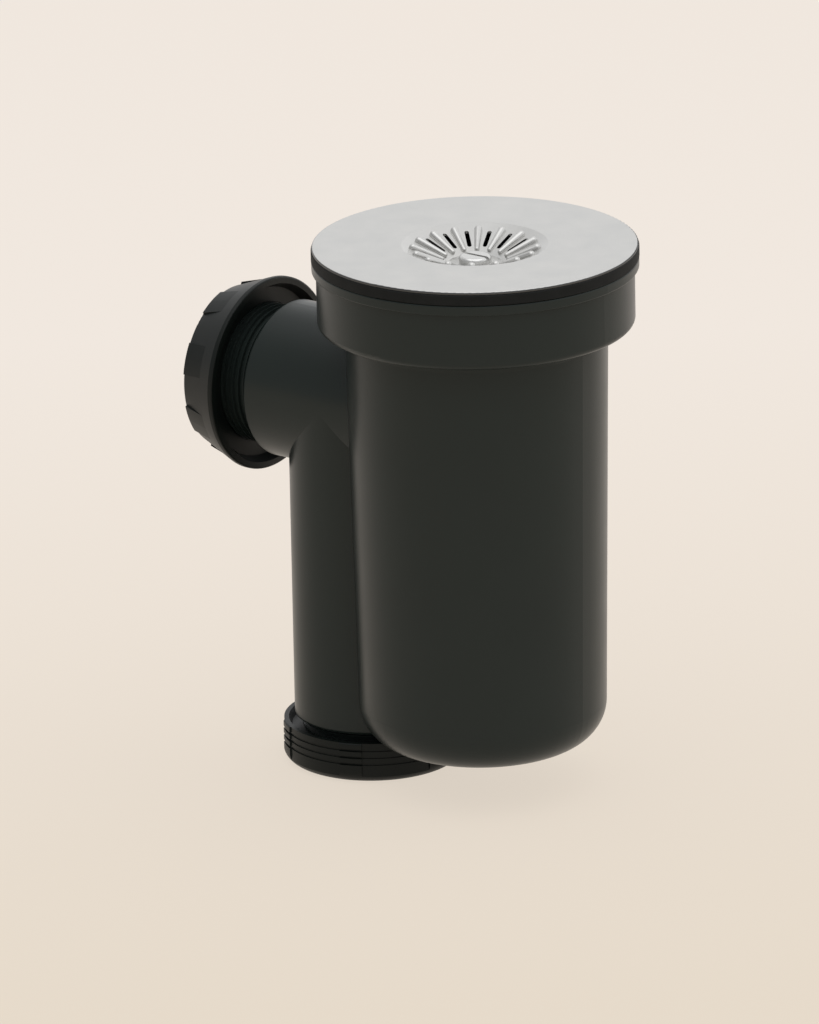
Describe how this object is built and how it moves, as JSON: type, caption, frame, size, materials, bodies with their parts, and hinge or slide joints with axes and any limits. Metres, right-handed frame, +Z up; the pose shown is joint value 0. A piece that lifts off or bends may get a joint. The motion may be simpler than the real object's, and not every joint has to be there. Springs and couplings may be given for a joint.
{
  "type": "sink trap",
  "caption": "Bottle sink trap with a slotted steel strainer plate, a collar head with dip tube, and a tee outlet with a side branch and a drop leg, each with a slip nut for waste pipe.",
  "frame": {"origin": "centre of the sink deck's seat, the top face of the flange seal, on the bottle's axis", "axes": "+Z up along the bottle's axis, -X along the side branch"},
  "size_m": [0.1597, 0.1106, 0.1915],
  "materials": {
    "plate_steel": "polished stainless sheet with a fine turned grain",
    "screw_steel": "bright stainless",
    "insert_brass": "turned",
    "seal_rubber": "matt black rubber",
    "body_plastic": "satin black moulded polyethylene",
    "nut_plastic": "satin black moulded polypropylene",
    "ring_plastic": "natural translucent polyethylene"
  },
  "bodies": {
    "trap": {"strainer_plate": "plate_steel", "clamp_screw": "screw_steel", "bridge_insert": "insert_brass", "flange_seal": "seal_rubber", "inlet_head": "body_plastic", "bottle_seal": "seal_rubber", "trap_body": "body_plastic", "branch_seal": "seal_rubber", "drop_seal": "seal_rubber"},
    "branch_ring": {"branch_slip_ring": "ring_plastic"},
    "branch_nut": {"branch_nut": "nut_plastic"},
    "drop_ring": {"drop_slip_ring": "ring_plastic"},
    "drop_nut": {"drop_nut": "nut_plastic"}
  },
  "joints": [
    {"name": "branch_nut_travel", "type": "slide", "parent": "trap", "child": "branch_ring", "axis": [-1, 0, 0], "range_m": [0, 0.00578]},
    {"name": "branch_nut_turn", "type": "hinge", "parent": "branch_ring", "child": "branch_nut", "pos_m": [-0.0882, 0, -0.0606], "axis": [-1, 0, 0], "range_deg": [0, 900]},
    {"name": "drop_nut_travel", "type": "slide", "parent": "trap", "child": "drop_ring", "axis": [0, 0, -1], "range_m": [0, 0.00347]},
    {"name": "drop_nut_turn", "type": "hinge", "parent": "drop_ring", "child": "drop_nut", "pos_m": [-0.047, 0, -0.1762], "axis": [0, 0, -1], "range_deg": [0, 540]}
  ],
  "couplings": [
    {"joint": "branch_nut_travel", "follows": "branch_nut_turn", "m_per_rad": 0.00036749},
    {"joint": "drop_nut_travel", "follows": "drop_nut_turn", "m_per_rad": 0.00036749}
  ]
}
